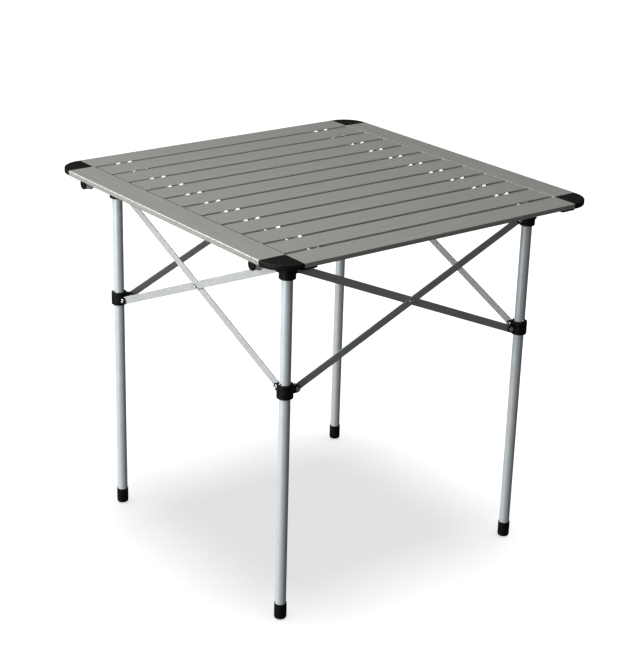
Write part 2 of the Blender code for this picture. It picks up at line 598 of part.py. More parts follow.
def build_legs(tube_metal, plastic, foot_plastic):
    """Four legs with their feet and heads, and the sliders on them."""
    leg, foot, slider = leg_mesh(), foot_mesh(), slider_mesh()
    heads = (head_mesh(True), head_mesh(False))
    for quarter, corner in enumerate(CORNERS):
        axis, turn = turned_place((-LEG_PLACE, -LEG_PLACE, 0), quarter), quarter * math.pi / 2
        hinge = leg_body_place(corner)
        body = body_empty(f"leg_body_{corner}", hinge)
        add_piece(f"leg_{corner}", leg, tube_metal, body, axis, STOP_SIDES[quarter] * math.pi / 2)
        add_piece(f"foot_{corner}", foot, foot_plastic, body, axis, turn)
        add_piece(f"head_{corner}", heads[quarter % 2], plastic, body, axis, turn)
        carriage = body_empty(f"slider_body_{corner}", hinge - Vector((0, 0, BRACE_RISE)))
        add_piece(f"slider_{corner}", slider, plastic, carriage, axis, turn)


def brace_body_places(side):
    """Hinges of a side's inner and outer brace: one hangs from a head, the other from the crossing."""
    crossing = pin_place(side, 0, CROSS_Z)
    if side in (FRONT, RIGHT):
        return pin_place(side, -1, HEAD_PIN_Z), crossing
    return crossing, pin_place(side, 1, HEAD_PIN_Z)


def build_braces(brace_metal, steel):
    """Two braces and their rivet on each side: seen from outside, the outer one falls to the left."""
    inner, outer = brace_mesh(INNER_INSET, BRACE_ANGLE), brace_mesh(OUTER_INSET, -BRACE_ANGLE)
    rivet = cross_rivet_mesh()
    for quarter, side in enumerate(SIDES):
        turn = quarter * math.pi / 2
        inner_place, outer_place = brace_body_places(quarter)
        inner_body = body_empty(f"brace_body_{side}_inner", inner_place)
        outer_body = body_empty(f"brace_body_{side}_outer", outer_place)
        add_piece(f"brace_{side}_inner", inner, brace_metal, inner_body, turn=turn)
        add_piece(f"brace_{side}_outer", outer, brace_metal, outer_body, turn=turn)
        add_piece(f"cross_rivet_{side}", rivet, steel, inner_body, turn=turn)


def main():
    for old in list(bpy.data.objects):
        bpy.data.objects.remove(old)
    slat_metal = material("anodised_aluminium", (0.34, 0.35, 0.32), 0.45, 0.8)
    tube_metal = material("silver_tube", (0.62, 0.64, 0.66), 0.4, 0.6)
    brace_metal = material("silver_brace", (0.60, 0.62, 0.63), 0.42, 0.6)
    plastic = material("black_plastic", (0.015, 0.015, 0.016), 0.5, 0.0)
    foot_plastic = material("black_foot_plastic", (0.012, 0.012, 0.012), 0.6, 0.0)
    steel = material("rivet_steel", (0.7, 0.7, 0.7), 0.3, 1.0)
    elastic = material("elastic_cord", (0.75, 0.75, 0.72), 0.8, 0.0)
    build_top(slat_metal, tube_metal, plastic, steel, elastic)
    build_legs(tube_metal, plastic, foot_plastic)
    build_braces(brace_metal, steel)


main()
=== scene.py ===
# Looks of the camping table: fine surfaces, finishes, camera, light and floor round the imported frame.
# Metres. +X runs along the slats, +Y to the rear, +Z up, the origin is on the floor under the middle.
import json
import math

import bmesh
import bpy
from mathutils import Matrix, Vector

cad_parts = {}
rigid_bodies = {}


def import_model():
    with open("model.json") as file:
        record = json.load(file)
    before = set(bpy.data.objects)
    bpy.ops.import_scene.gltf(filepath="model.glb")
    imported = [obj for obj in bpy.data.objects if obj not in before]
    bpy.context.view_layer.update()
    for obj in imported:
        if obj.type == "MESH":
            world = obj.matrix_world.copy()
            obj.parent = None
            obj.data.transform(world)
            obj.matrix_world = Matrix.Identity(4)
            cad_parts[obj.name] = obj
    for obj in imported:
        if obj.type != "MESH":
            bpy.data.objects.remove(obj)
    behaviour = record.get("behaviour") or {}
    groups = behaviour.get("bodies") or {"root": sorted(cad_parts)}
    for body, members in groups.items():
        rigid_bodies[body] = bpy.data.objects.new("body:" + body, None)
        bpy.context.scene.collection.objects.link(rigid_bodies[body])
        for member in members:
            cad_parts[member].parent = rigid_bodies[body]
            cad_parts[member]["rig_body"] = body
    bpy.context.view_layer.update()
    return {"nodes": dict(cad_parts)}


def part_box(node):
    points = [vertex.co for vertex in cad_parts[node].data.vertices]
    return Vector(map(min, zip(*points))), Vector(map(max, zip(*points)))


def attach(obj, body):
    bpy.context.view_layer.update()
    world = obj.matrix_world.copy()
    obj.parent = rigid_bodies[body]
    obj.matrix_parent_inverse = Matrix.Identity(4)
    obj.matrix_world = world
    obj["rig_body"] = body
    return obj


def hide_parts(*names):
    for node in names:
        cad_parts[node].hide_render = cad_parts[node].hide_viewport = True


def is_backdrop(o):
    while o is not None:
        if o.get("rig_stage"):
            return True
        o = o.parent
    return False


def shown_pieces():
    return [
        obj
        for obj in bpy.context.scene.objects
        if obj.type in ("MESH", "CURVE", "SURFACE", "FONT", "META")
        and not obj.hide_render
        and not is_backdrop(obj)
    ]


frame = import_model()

# Table top
SLAT_WALL = 0.0007
SLAT_LIP = 0.0035
SLAT_EDGE_RADIUS = 0.0014
NOTCH_WIDTH = 0.0095
NOTCH_CORNER = 0.003
NOTCH_DROP = 0.0008        # from the top of the slat to the top of the notch
NOTCH_SETBACKS = (0.0525, 0.0775)   # from the end of an inner slat to the middles of its notches
PAINTED_SHADE_PAD = 0.0005          # thickness of the black pad on the left end of an inner slat, painted shade standing in for the shadow in the gap to the rail
SLAT_REACH = 0.0002        # that the right end of a fine slat goes on toward its rail
SCOOP = (0.0060, 0.0018)   # half width and depth of the scoop in a slat's rear edge at each notch
RAIL_WALL = 0.0012
RAIL_INNER_RADIUS = 0.0003
RAIL_EDGE_RADIUS = 0.0016
LEDGE_WIDTH = 0.012
LEDGE_THICKNESS = 0.0015
CORNER_FLAT = 0.004
CORNER_EDGE_RADIUS = 0.0018
CORNER_TONGUE = 0.020
CORNER_RIB = 0.0016
CLIP_REACH = 0.028
CLIP_WIDTH = 0.009
CLIP_DROP = 0.003
CLIP_ROUNDING = 0.002
SEAM_DEPTH = 0.0003        # of the parting line round a moulded piece
SEAM_WIDTH = 0.0005
SEAM_LEVEL = 0.62          # of the panel's thickness, down from its face to the parting line
BAR_WALL = 0.0012
BAR_CAP_THICKNESS = 0.003
BAR_CAP_EDGE = 0.0012
BAR_CAP_DISH = (0.62, 0.56)   # rim and floor of the dish in a plug's face, as shares of its radius
SCREW_HEAD_HEIGHT = 0.0016
SCREW_CROWN = 0.55         # of the head's radius that is flat
SCREW_RIM = 0.25           # of the head's height that is straight
SCREW_RECESS = (0.0045, 0.0009, 0.0010)   # cross recess: length, width, depth
SEAT_GAP = 0.0003

# Frame
LEG_DIAMETER = 0.0195
LEG_WALL = 0.0012
FOOT_ROUNDING = 0.0045
FOOT_RIM = 0.0012
FOOT_GROOVE = (4.0, 3.6, 3.2, 2.8)   # levels of the groove under a foot's rim, in rims from its top
DRUM_ROUNDING = 0.001
EAR_RADIUS = 0.0066
EAR_CHEEK = 0.004
EAR_EDGE = 0.0004
SADDLE_LIP = 0.003
SADDLE_LIP_RISE = 0.0055
SADDLE_CORNER = 0.009
SADDLE_REACH = 1.2         # of a drum's radius, that the cutter of a saddle goes to
BRACE_WIDTH = 0.014
BRACE_THICKNESS = 0.0025
BRACE_EDGE = 0.0005        # radius along both edges of a brace
CROSS_INSET = 0.0008       # from the plane of a side's leg axes inward, to midway between its two braces
BRACE_CROSS_GAP = 0.0004
BRACE_SWING_GAP = 0.0005
BRACE_RISE = 0.212
RIVET_RADIUS = 0.0045
RIVET_RISE = 0.0014
RIVET_BORE = 0.0016        # radius of the hollow in a rivet's head
RIVET_FLOOR = 0.3          # of a rivet's rise, up to the floor of its hollow
EAR_PIN_RADIUS = 1.5 * RIVET_BORE
CROSS_RIVET_RADIUS = 0.0049
CROSS_RIVET_BORE = 0.0024
STOP_RADIUS = 0.0026       # blind rivet in the leg, above the slider
STOP_RISE = 0.0015
STOP_BORE = 0.0008

# Fineness
TUBE_SIDES = 64
MOULDED_SIDES = 48
RIVET_SIDES = 32
ROUND_STEPS = 5
INSIDE_STEPS = 2
RIM_STEPS = 3
CORNER_STEPS = 24
SCOOP_STEPS = 24
SADDLE_STEPS = 10
CRADLE_STEPS = 16
EAR_STEPS = 16
BRACE_END_STEPS = 20
BEVEL_SEGMENTS = 4
EASE_SEGMENTS = 2
EASE_ANGLE = math.radians(40)               # edges sharper than this are eased
SMOOTH_LIMIT = math.cos(math.radians(38))   # faces that meet at less than this angle share their normals
LEVEL_TOLERANCE = 1e-6

# Finishes: tones, dark and light, between which a surface varies, and its least and most roughness
TOP_TONES = (0.395, 0.41, 0.375), (0.525, 0.545, 0.50)
TUBE_TONES = (0.69, 0.74, 0.77), (0.78, 0.84, 0.875)
BRACE_TONES = (0.53, 0.545, 0.55), (0.60, 0.62, 0.625)
BLACK_TONES = (0.003, 0.003, 0.003), (0.006, 0.006, 0.006)
FOOT_TONES = (0.002, 0.002, 0.002), (0.005, 0.005, 0.005)
STEEL_TONES = (0.56, 0.56, 0.55), (0.80, 0.80, 0.79)
ELASTIC_TONES = (0.70, 0.70, 0.68), (0.88, 0.88, 0.86)
TOP_ROUGHNESS = (0.40, 0.52)
SILVER_ROUGHNESS = (0.34, 0.46)
BLACK_ROUGHNESS = (0.40, 0.58)
FOOT_ROUGHNESS = (0.45, 0.62)
STEEL_ROUGHNESS = (0.18, 0.34)
ELASTIC_ROUGHNESS = (0.75, 0.95)
NOISE_MIDDLE = (0.3, 0.7)   # the part of a noise that a finish makes use of
FLOOR_TONE = (0.8, 0.8, 0.8)
WHITE = (1.0, 1.0, 1.0, 1.0)

# How much denser a noise is along each axis, which draws it out along the axis of the least
LINES_ALONG_X, LINES_ALONG_Y, LINES_ALONG_Z = (1.0, 60.0, 60.0), (60.0, 1.0, 60.0), (60.0, 60.0, 1.0)
NO_LINES = (20.0, 20.0, 20.0)
SCRATCHES = (1.0, 12.0, 1.0)
BRAID = (1.0, 0.45, 1.0)

# Camera: a level turn, a rise above the floor and a roll, in degrees, and the focal length in pixels
PHOTO_HEIGHT = 659
CAMERA_TURN, CAMERA_RISE, CAMERA_ROLL = -37.646, 21.278, 1.6
CAMERA_DISTANCE = 3.08
CAMERA_AIM = (-0.004, 0.4011)    # aside from the middle, and above the floor
CAMERA_FOCAL = 1620.9
SENSOR = 36.0

# Studio: each light's name, place, size and power in watts
STUDIO_LIGHTS = (
    ("left", (-3.0, -0.3, 2.6), (1.6, 1.6), 50.0),
    ("low_left", (-3.2, -0.4, 0.7), (2.0, 1.2), 50.0),
    ("behind", (-2.4, 1.9, 1.7), (1.6, 1.4), 75.0),
    ("over", (-0.5, 0.0, 3.2), (2.0, 2.0), 44.0),
)
LIGHT_AIM = (0.0, 0.0, 0.5)
WORLD_FILL = 0.083
FLOOR_GLOW = 0.625
FLOOR_HALF = 15.0
FLOOR_DROP = 0.0005        # of the floor below the feet

# Suns, which light the floor alone and the cords alone: strength, where it comes from, width in degrees
FLOOR_LIGHT, FLOOR_LIGHT_FROM = 2.24, (0.0, 0.0, 1.0)
CORD_LIGHT, CORD_LIGHT_FROM = 5.0, (-0.6, -0.8, 0.7)
SUN_SPREAD = 32.0

nodes = frame["nodes"]

# Places and sizes read from the frame
slat_box, edge_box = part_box("slat_02"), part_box("slat_01")
rail_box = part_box("rail_right")
bar_box, bar_cap_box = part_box("bar_front"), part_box("bar_cap_front_left")
screw_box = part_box("bar_screw_front_left")
leg_box, foot_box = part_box("leg_front_left"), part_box("foot_front_left")
slider_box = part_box("slider_front_left")
TOP = slat_box[1].z
SLAT_HEIGHT = TOP - slat_box[0].z
SLAT_WIDTH = slat_box[1].y - slat_box[0].y
SLAT_HALF_LENGTH = slat_box[1].x
NOTCH_PLACES = [SLAT_HALF_LENGTH - setback for setback in NOTCH_SETBACKS]
PANEL_THICKNESS = TOP - rail_box[0].z
PANEL_HALF_DEPTH = -edge_box[0].y
EDGE_SLAT_INNER = PANEL_HALF_DEPTH - SLAT_WIDTH
RAIL_INNER = rail_box[0].x + LEDGE_WIDTH
RAIL_OUTER = rail_box[1].x
RAIL_HALF = rail_box[1].y
RAIL_MIDDLE = (RAIL_INNER + RAIL_OUTER) / 2
CORNER_RADIUS = min(RAIL_OUTER - RAIL_INNER, SLAT_WIDTH) - CORNER_FLAT
BAR_RADIUS = (bar_cap_box[1].z - bar_cap_box[0].z) / 2
BAR_AXIS_Z = (bar_cap_box[1].z + bar_cap_box[0].z) / 2
BAR_HALF = bar_box[1].x
LEG_PLACE = -(foot_box[0].x + foot_box[1].x) / 2
LEG_BOTTOM, LEG_TOP = leg_box[0].z, leg_box[1].z
FOOT_HEIGHT = foot_box[1].z
FOOT_RADIUS = -foot_box[0].x - LEG_PLACE
DRUM_RADIUS = -slider_box[0].x - LEG_PLACE
DRUM_HEIGHT = slider_box[1].z - slider_box[0].z
SLIDER_PIN_Z = (slider_box[0].z + slider_box[1].z) / 2
HEAD_PIN_Z = SLIDER_PIN_Z + BRACE_RISE
CROSS_Z = SLIDER_PIN_Z + BRACE_RISE / 2
SADDLE_FLOOR = BAR_AXIS_Z - BAR_RADIUS - SEAT_GAP
BORE_RADIUS = LEG_DIAMETER / 2 + SEAT_GAP
PIN_OFFSET = DRUM_RADIUS + BRACE_SWING_GAP + BRACE_WIDTH / 2
PIN_PLACE = LEG_PLACE - PIN_OFFSET
BRACE_ANGLE = math.atan2(BRACE_RISE, 2 * PIN_PLACE)
BRACE_HALF_PIN = math.hypot(BRACE_RISE, 2 * PIN_PLACE) / 2
EAR_WIDTH = BRACE_THICKNESS + 2 * (SEAT_GAP + EAR_CHEEK)
INNER_INSET = CROSS_INSET + (BRACE_CROSS_GAP + BRACE_THICKNESS) / 2
OUTER_INSET = CROSS_INSET - (BRACE_CROSS_GAP + BRACE_THICKNESS) / 2

# Sides and corners in the order of the quarter turns that lead to them, and where the stop rivets face
SIDES = ("front", "right", "rear", "left")
CORNERS = ("front_left", "front_right", "rear_right", "rear_left")
STOP_SIDES = {"front_left": "left", "front_right": "front", "rear_right": "right", "rear_left": "left"}


# Outlines and solids

def arc(centre, radius, start_degrees, end_degrees, steps):
    """Points of a circular arc, both ends included."""
    points = []
    for step in range(steps + 1):
        angle = math.radians(start_degrees + (end_degrees - start_degrees) * step / steps)
        points.append((centre[0] + radius * math.cos(angle), centre[1] + radius * math.sin(angle)))
    return points


def rounded_rectangle(low, high, radius, steps):
    """Rectangle between two corners, its four corners rounded."""
    left, front = low[0] + radius, low[1] + radius
    right, rear = high[0] - radius, high[1] - radius
    return (arc((right, front), radius, -90, 0, steps) + arc((right, rear), radius, 0, 90, steps)
            + arc((left, rear), radius, 90, 180, steps) + arc((left, front), radius, 180, 270, steps))


def finish_mesh(bm, name):
    """Turns a bmesh into a mesh with its faces outward."""
    bmesh.ops.recalc_face_normals(bm, faces=bm.faces)
    mesh = bpy.data.meshes.new(name)
    bm.to_mesh(mesh)
    bm.free()
    return mesh


def prism(outline, low, high, axis="Z"):
    """Extrudes an outline from low to high along an axis; (x, y) for Z, (x, z) for Y and (y, z) for X."""
    place = {"X": lambda a, b, c: (c, a, b),
             "Y": lambda a, b, c: (a, c, b),
             "Z": lambda a, b, c: (a, b, c)}[axis]
    bm = bmesh.new()
    face = bm.faces.new([bm.verts.new(place(a, b, low)) for a, b in outline])
    raised = bmesh.ops.extrude_face_region(bm, geom=[face])["geom"]
    verts = [item for item in raised if isinstance(item, bmesh.types.BMVert)]
    bmesh.ops.translate(bm, vec=Vector(place(0.0, 0.0, high - low)), verts=verts)
    return finish_mesh(bm, "prism")


def box(low, high):
    """Box between two corners."""
    outline = [(low[0], low[1]), (high[0], low[1]), (high[0], high[1]), (low[0], high[1])]
    return prism(outline, low[2], high[2])


def rim_bevelled(mesh, index, width):
    """Bevels the edges of a prism that lie across the axis of this index."""
    bm = bmesh.new()
    bm.from_mesh(mesh)
    rims = [edge for edge in bm.edges
            if abs(edge.verts[0].co[index] - edge.verts[1].co[index]) < LEVEL_TOLERANCE]
    bmesh.ops.bevel(bm, geom=rims, offset=width, segments=BEVEL_SEGMENTS, affect="EDGES", profile=0.5)
    return finish_mesh(bm, "rim_bevelled")


def turned(profile, sides):
    """Solid of revolution about Z from a closed profile of (radius, height) points."""
    bm = bmesh.new()
    rings = []
    for radius, height in profile:
        turns = [2 * math.pi * index / sides for index in range(sides if radius > 0 else 1)]
        rings.append([bm.verts.new((radius * math.cos(turn), radius * math.sin(turn), height))
                      for turn in turns])
    for lower, upper in zip(rings, rings[1:] + rings[:1]):
        for index in range(sides):
            following = (index + 1) % sides
            corners = []
            for vert in (lower[index % len(lower)], lower[following % len(lower)],
                         upper[following % len(upper)], upper[index % len(upper)]):
                if vert not in corners:
                    corners.append(vert)
            if len(corners) > 2:
                bm.faces.new(corners)
    return finish_mesh(bm, "turned")


def moved(mesh, matrix):
    """Copy of a mesh, moved, turned or mirrored by a matrix."""
    copy = mesh.copy()
    copy.transform(matrix)
    if matrix.determinant() < 0:
        copy.flip_normals()
    return copy


def combined(body, additions=(), cutters=(), bevel=0.0):
    """Boolean union of a body with the additions, then cut by the cutters, and its sharp edges eased."""
    target = bpy.data.objects.new("blank", body)
    bpy.context.collection.objects.link(target)
    tools = []
    for operation, meshes in (("UNION", additions), ("DIFFERENCE", cutters)):
        for mesh in meshes:
            tool = bpy.data.objects.new("tool", mesh)
            bpy.context.collection.objects.link(tool)
            tools.append(tool)
            modifier = target.modifiers.new(operation, "BOOLEAN")
            modifier.operation = operation
            modifier.solver = "EXACT"
            modifier.object = tool
    if bevel:
        ease = target.modifiers.new("ease", "BEVEL")
        ease.width = bevel
        ease.segments = EASE_SEGMENTS
        ease.limit_method = "ANGLE"
        ease.angle_limit = EASE_ANGLE
    shaped = target.evaluated_get(bpy.context.evaluated_depsgraph_get())
    result = bpy.data.meshes.new_from_object(shaped)
    for item in [target] + tools:
        bpy.data.objects.remove(item)
    return result


def joined(meshes):
    """One mesh that holds several bodies."""
    bm = bmesh.new()
    for mesh in meshes:
        bm.from_mesh(mesh)
    return finish_mesh(bm, "joined")


def along_x(place):
    """Matrix that lays a piece made about Z along +X, at a place."""
    return Matrix.Translation(place) @ Matrix.Rotation(math.pi / 2, 4, "Y")


def along_y(place):
    """Matrix that lays a piece made about Z along +Y, at a place."""
    return Matrix.Translation(place) @ Matrix.Rotation(-math.pi / 2, 4, "X")


# Mirror in the plane x = y, which takes a piece from one side of a corner to the other
SWAP = Matrix(((0, 1, 0, 0), (1, 0, 0, 0), (0, 0, 1, 0), (0, 0, 0, 1)))


# Finishes

class Finish:
    """A Principled material with helpers for its node tree."""

    def __init__(self, name, metallic=0.0, specular=0.5):
        self.material = bpy.data.materials.new(name)
        self.material.use_nodes = True
        self.tree = self.material.node_tree
        self.shader = self.tree.nodes["Principled BSDF"]
        self.shader.inputs["Metallic"].default_value = metallic
        self.shader.inputs["Specular IOR Level"].default_value = specular
        self.coordinates = self.tree.nodes.new("ShaderNodeTexCoord").outputs["Object"]

    def link(self, source, target):
        self.tree.links.new(source, target)

    def noise(self, scale, detail=2.0, stretch=(1.0, 1.0, 1.0)):
        """Noise in metres: scale is in spots per metre, and stretch multiplies it along each axis."""
        mapping = self.tree.nodes.new("ShaderNodeMapping")
        mapping.inputs["Scale"].default_value = stretch
        self.link(self.coordinates, mapping.inputs["Vector"])
        noise = self.tree.nodes.new("ShaderNodeTexNoise")
        noise.inputs["Scale"].default_value = scale
        noise.inputs["Detail"].default_value = detail
        self.link(mapping.outputs["Vector"], noise.inputs["Vector"])
        return noise.outputs["Fac"]

    def spread(self, value, low, high):
        """Stretches the middle of a noise over a range."""
        ranged = self.tree.nodes.new("ShaderNodeMapRange")
        ranged.inputs["From Min"].default_value = NOISE_MIDDLE[0]
        ranged.inputs["From Max"].default_value = NOISE_MIDDLE[1]
        ranged.inputs["To Min"].default_value = low
        ranged.inputs["To Max"].default_value = high
        self.link(value, ranged.inputs["Value"])
        return ranged.outputs["Result"]

    def tone(self, value, dark, light):
        """Colour between two tones."""
        mix = self.tree.nodes.new("ShaderNodeMix")
        mix.data_type = "RGBA"
        mix.inputs["A"].default_value = (*dark, 1.0)
        mix.inputs["B"].default_value = (*light, 1.0)
        self.link(value, mix.inputs["Factor"])
        return mix.outputs["Result"]

    def mixed(self, first, second, share):
        """Weighted sum of two values."""
        mix = self.tree.nodes.new("ShaderNodeMix")
        mix.inputs["Factor"].default_value = share
        self.link(first, mix.inputs["A"])
        self.link(second, mix.inputs["B"])
        return mix.outputs["Result"]

    def bump(self, value, height):
        """Relief of this height in metres."""
        bump = self.tree.nodes.new("ShaderNodeBump")
        bump.inputs["Strength"].default_value = 1.0
        bump.inputs["Distance"].default_value = height
        self.link(value, bump.inputs["Height"])
        self.link(bump.outputs["Normal"], self.shader.inputs["Normal"])

    def colour(self, value, tones):
        """Base colour that runs between two tones."""
        self.link(self.tone(self.spread(value, 0.0, 1.0), *tones), self.shader.inputs["Base Color"])

    def roughness(self, value, extremes):
        """Roughness that runs between its extremes."""
        self.link(self.spread(value, *extremes), self.shader.inputs["Roughness"])


def anodised_finish(name, stretch):
    """Satin anodised extrusion: a fine matt grain over faint lines along the profile."""
    finish = Finish(name, metallic=0.55)
    grain, patches = finish.noise(1500.0, 3.0), finish.noise(260.0, 4.0)
    lines = finish.noise(6.0, 4.0, stretch)
    finish.colour(finish.mixed(finish.mixed(grain, patches, 0.5), lines, 0.35), TOP_TONES)
    finish.roughness(finish.mixed(patches, lines, 0.5), TOP_ROUGHNESS)
    finish.bump(finish.mixed(grain, lines, 0.25), height=0.00006)
    return finish.material


def silver_finish(name, stretch, tones, metallic, relief, duller=0.0):
    """Smooth silver metal with drawn lines and slight clouding; duller is added to its roughness."""
    finish = Finish(name, metallic=metallic)
    lines, clouds = finish.noise(8.0, 4.0, stretch), finish.noise(45.0, 3.0)
    finish.colour(finish.mixed(lines, clouds, 0.5), tones)
    finish.roughness(finish.mixed(clouds, lines, 0.6), [value + duller for value in SILVER_ROUGHNESS])
    finish.bump(finish.mixed(lines, finish.noise(900.0, 2.0), 0.3), relief)
    return finish.material


def plastic_finish(name, tones, roughness, relief):
    """Moulded plastic with a fine spark grain and duller handled patches."""
    finish = Finish(name, specular=0.17)
    grain, patches = finish.noise(2200.0, 2.0), finish.noise(120.0, 3.0)
    finish.colour(patches, tones)
    finish.roughness(finish.mixed(grain, patches, 0.6), roughness)
    finish.bump(grain, relief)
    return finish.material


def steel_finish():
    """Bright zinc-plated steel, faintly spotted."""
    finish = Finish("steel", metallic=1.0)
    spots, scratches = finish.noise(700.0, 3.0), finish.noise(90.0, 4.0, SCRATCHES)
    finish.colour(spots, STEEL_TONES)
    finish.roughness(finish.mixed(spots, scratches, 0.5), STEEL_ROUGHNESS)
    finish.bump(scratches, height=0.00002)
    return finish.material


def elastic_finish():
    """Braided cover of the elastic cord."""
    finish = Finish("elastic", specular=0.2)
    braid, soil = finish.noise(1100.0, 1.0, BRAID), finish.noise(60.0, 3.0)
    finish.colour(finish.mixed(braid, soil, 0.4), ELASTIC_TONES)
    finish.roughness(braid, ELASTIC_ROUGHNESS)
    finish.bump(braid, height=0.00025)
    return finish.material


FINISHES = {
    "slat_aluminium": anodised_finish("slat_metal", LINES_ALONG_X),
    "rail_aluminium": anodised_finish("rail_metal", LINES_ALONG_Y),
    "tube_aluminium": silver_finish("tube_metal", LINES_ALONG_Z, TUBE_TONES, metallic=0.3, relief=0.00003),
    "brace_aluminium": silver_finish("brace_metal", NO_LINES, BRACE_TONES, metallic=0.5, relief=0.000005,
                                     duller=0.16),
    "black_plastic": plastic_finish("black_plastic", BLACK_TONES, BLACK_ROUGHNESS, relief=0.00006),
    "foot_plastic": plastic_finish("foot_plastic", FOOT_TONES, FOOT_ROUGHNESS, relief=0.00005),
    "steel_fasteners": steel_finish(),
    "elastic_cord": elastic_finish(),
}


# Pieces

def add_piece(name, mesh, slot, body, place=(0, 0, 0), turn=0.0):
    """One visible piece that rides on a body and takes the finish of a slot."""
    piece = bpy.data.objects.new(name, mesh)
    bpy.context.collection.objects.link(piece)
    piece.location = place
    piece.rotation_euler = (0, 0, turn)
    mesh.materials.clear()
    mesh.materials.append(FINISHES[slot])
    if not mesh.has_custom_normals:
        mesh.shade_smooth()
        mesh.normals_split_custom_set(weighted_normals(mesh))
    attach(piece, body)
    return piece


def weighted_normals(mesh):
    """Normals weighted by area, so that a flat face stays flat up to the rounding of its edge."""
    around = [[] for _ in mesh.vertices]
    for polygon in mesh.polygons:
        for vertex in polygon.vertices:
            around[vertex].append(polygon)
    normals = []
    for polygon in mesh.polygons:
        for vertex in polygon.vertices:
            total = Vector((0, 0, 0))
            for other in around[vertex]:
                if other.normal.dot(polygon.normal) > SMOOTH_LIMIT:
                    total += other.area * other.normal
            normals.append(total.normalized() if total.length else polygon.normal.copy())
    return normals


def stand_in(node, mesh, slot, place=(0, 0, 0), turn=0.0):
    """A finer piece in the place of a node of the frame."""
    piece = add_piece(f"fine_{node}", mesh, slot, nodes[node]["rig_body"], place, turn)
    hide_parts(node)
    return piece


def turned_place(place, side):
    """A place on the front side, carried to another side by quarter turns about the middle."""
    return Matrix.Rotation(side * math.pi / 2, 4, "Z") @ Vector(place)


# Table top

def slat_mesh(left, right, front_notched, rear_scooped):
    """Open channel with lips from left to right, its top face at z = 0, with arched notches for the cords."""
    half, wall, foot, edge = SLAT_WIDTH / 2, SLAT_WALL, -SLAT_HEIGHT, SLAT_EDGE_RADIUS
    outline = [(half, foot)]
    outline += arc((half - edge, -edge), edge, 0, 90, ROUND_STEPS)
    outline += arc((edge - half, -edge), edge, 90, 180, ROUND_STEPS)
    outline += [(-half, foot), (SLAT_LIP - half, foot), (SLAT_LIP - half, foot + wall),
                (wall - half, foot + wall)]
    outline += arc((edge - half, -edge), edge - wall, 180, 90, INSIDE_STEPS)
    outline += arc((half - edge, -edge), edge - wall, 90, 0, INSIDE_STEPS)
    outline += [(half - wall, foot + wall), (half - SLAT_LIP, foot + wall), (half - SLAT_LIP, foot)]
    channel = prism(outline, left, right, "X")
    side, top = NOTCH_WIDTH / 2, -NOTCH_DROP
    margin = SLAT_HEIGHT / 2
    arch = [(-side, foot - margin), (side, foot - margin)]
    arch += arc((side - NOTCH_CORNER, top - NOTCH_CORNER), NOTCH_CORNER, 0, 90, ROUND_STEPS)
    arch += arc((NOTCH_CORNER - side, top - NOTCH_CORNER), NOTCH_CORNER, 90, 180, ROUND_STEPS)
    cutters = [prism(arch, -half - margin if front_notched else 0.0, half + margin, "Y")]
    if rear_scooped:
        width, depth = SCOOP
        angles = [math.pi * step / SCOOP_STEPS for step in range(SCOOP_STEPS + 1)]
        scoop = [(-width * math.cos(angle), half - depth * math.sin(angle)) for angle in angles]
        cutters.append(prism([(-width, half + margin), *scoop, (width, half + margin)], -margin, margin))
    places = [sign * place for place in NOTCH_PLACES for sign in (-1, 1)]
    cuts = [moved(cutter, Matrix.Translation((x, 0, 0))) for x in places for cutter in cutters]
    return combined(channel, cutters=cuts)


def add_slats():
    """Slats from front to rear, the edge slats longer than the others, and black pads on the left ends of the
    inner slats: painted shade standing in for the shadow in the gap between their ends and the left rail.
    """
    count = sum(name.startswith("slat_") for name in nodes)
    inner = slat_mesh(PAINTED_SHADE_PAD - SLAT_HALF_LENGTH, SLAT_HALF_LENGTH + SLAT_REACH,
                      front_notched=True, rear_scooped=True)
    front = slat_mesh(edge_box[0].x, edge_box[1].x, front_notched=False, rear_scooped=True)
    rear = slat_mesh(edge_box[0].x, edge_box[1].x, front_notched=False, rear_scooped=False)
    # The black pads are painted shade: dark pieces put where the gap between the slat ends and the left rail
    # is only in shadow
    half = SLAT_WIDTH / 2 - SEAT_GAP
    shade_pad = prism(rounded_rectangle((-half, -SLAT_LIP), (half, -SEAT_GAP / 2), SLAT_EDGE_RADIUS, ROUND_STEPS),
                -SLAT_HALF_LENGTH, PAINTED_SHADE_PAD - SLAT_HALF_LENGTH, "X")
    shade_pads = []
    for number in range(count):
        node = f"slat_{number + 1:02d}"
        low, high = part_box(node)
        mesh, turn = {0: (front, 0.0), count - 1: (rear, math.pi)}.get(number, (inner, 0.0))
        middle = (low.y + high.y) / 2
        stand_in(node, mesh, "slat_aluminium", (0, middle, TOP), turn)
        if mesh is inner:
            shade_pads.append(moved(shade_pad, Matrix.Translation((0, middle, 0))))
    # Painted shade: the black pads darken the gap at the slats' left ends
    add_piece("slat_end_painted_shade", joined(shade_pads), "black_plastic", nodes["slat_02"]["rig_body"], (0, 0, TOP))


def add_rails():
    """Hollow side rails with the ledge that carries the slats."""
    edge, inner, foot = RAIL_EDGE_RADIUS, RAIL_INNER_RADIUS, -PANEL_THICKNESS
    outline = [(RAIL_INNER - LEDGE_WIDTH, foot)]
    outline += arc((RAIL_OUTER - edge, foot + edge), edge, -90, 0, ROUND_STEPS)
    outline += arc((RAIL_OUTER - edge, -edge), edge, 0, 90, ROUND_STEPS)
    outline += arc((RAIL_INNER + inner, -inner), inner, 90, 180, ROUND_STEPS)
    outline += [(RAIL_INNER, foot + LEDGE_THICKNESS), (RAIL_INNER - LEDGE_WIDTH, foot + LEDGE_THICKNESS)]
    margin = PANEL_THICKNESS
    hollow = box((RAIL_INNER + RAIL_WALL, -RAIL_HALF - margin, foot + RAIL_WALL),
                 (RAIL_OUTER - RAIL_WALL, RAIL_HALF + margin, -RAIL_WALL))
    rail = combined(prism(outline, -RAIL_HALF, RAIL_HALF, "Y"), cutters=[hollow])
    stand_in("rail_right", rail, "rail_aluminium", (0, 0, TOP))
    stand_in("rail_left", rail, "rail_aluminium", (0, 0, TOP), math.pi)


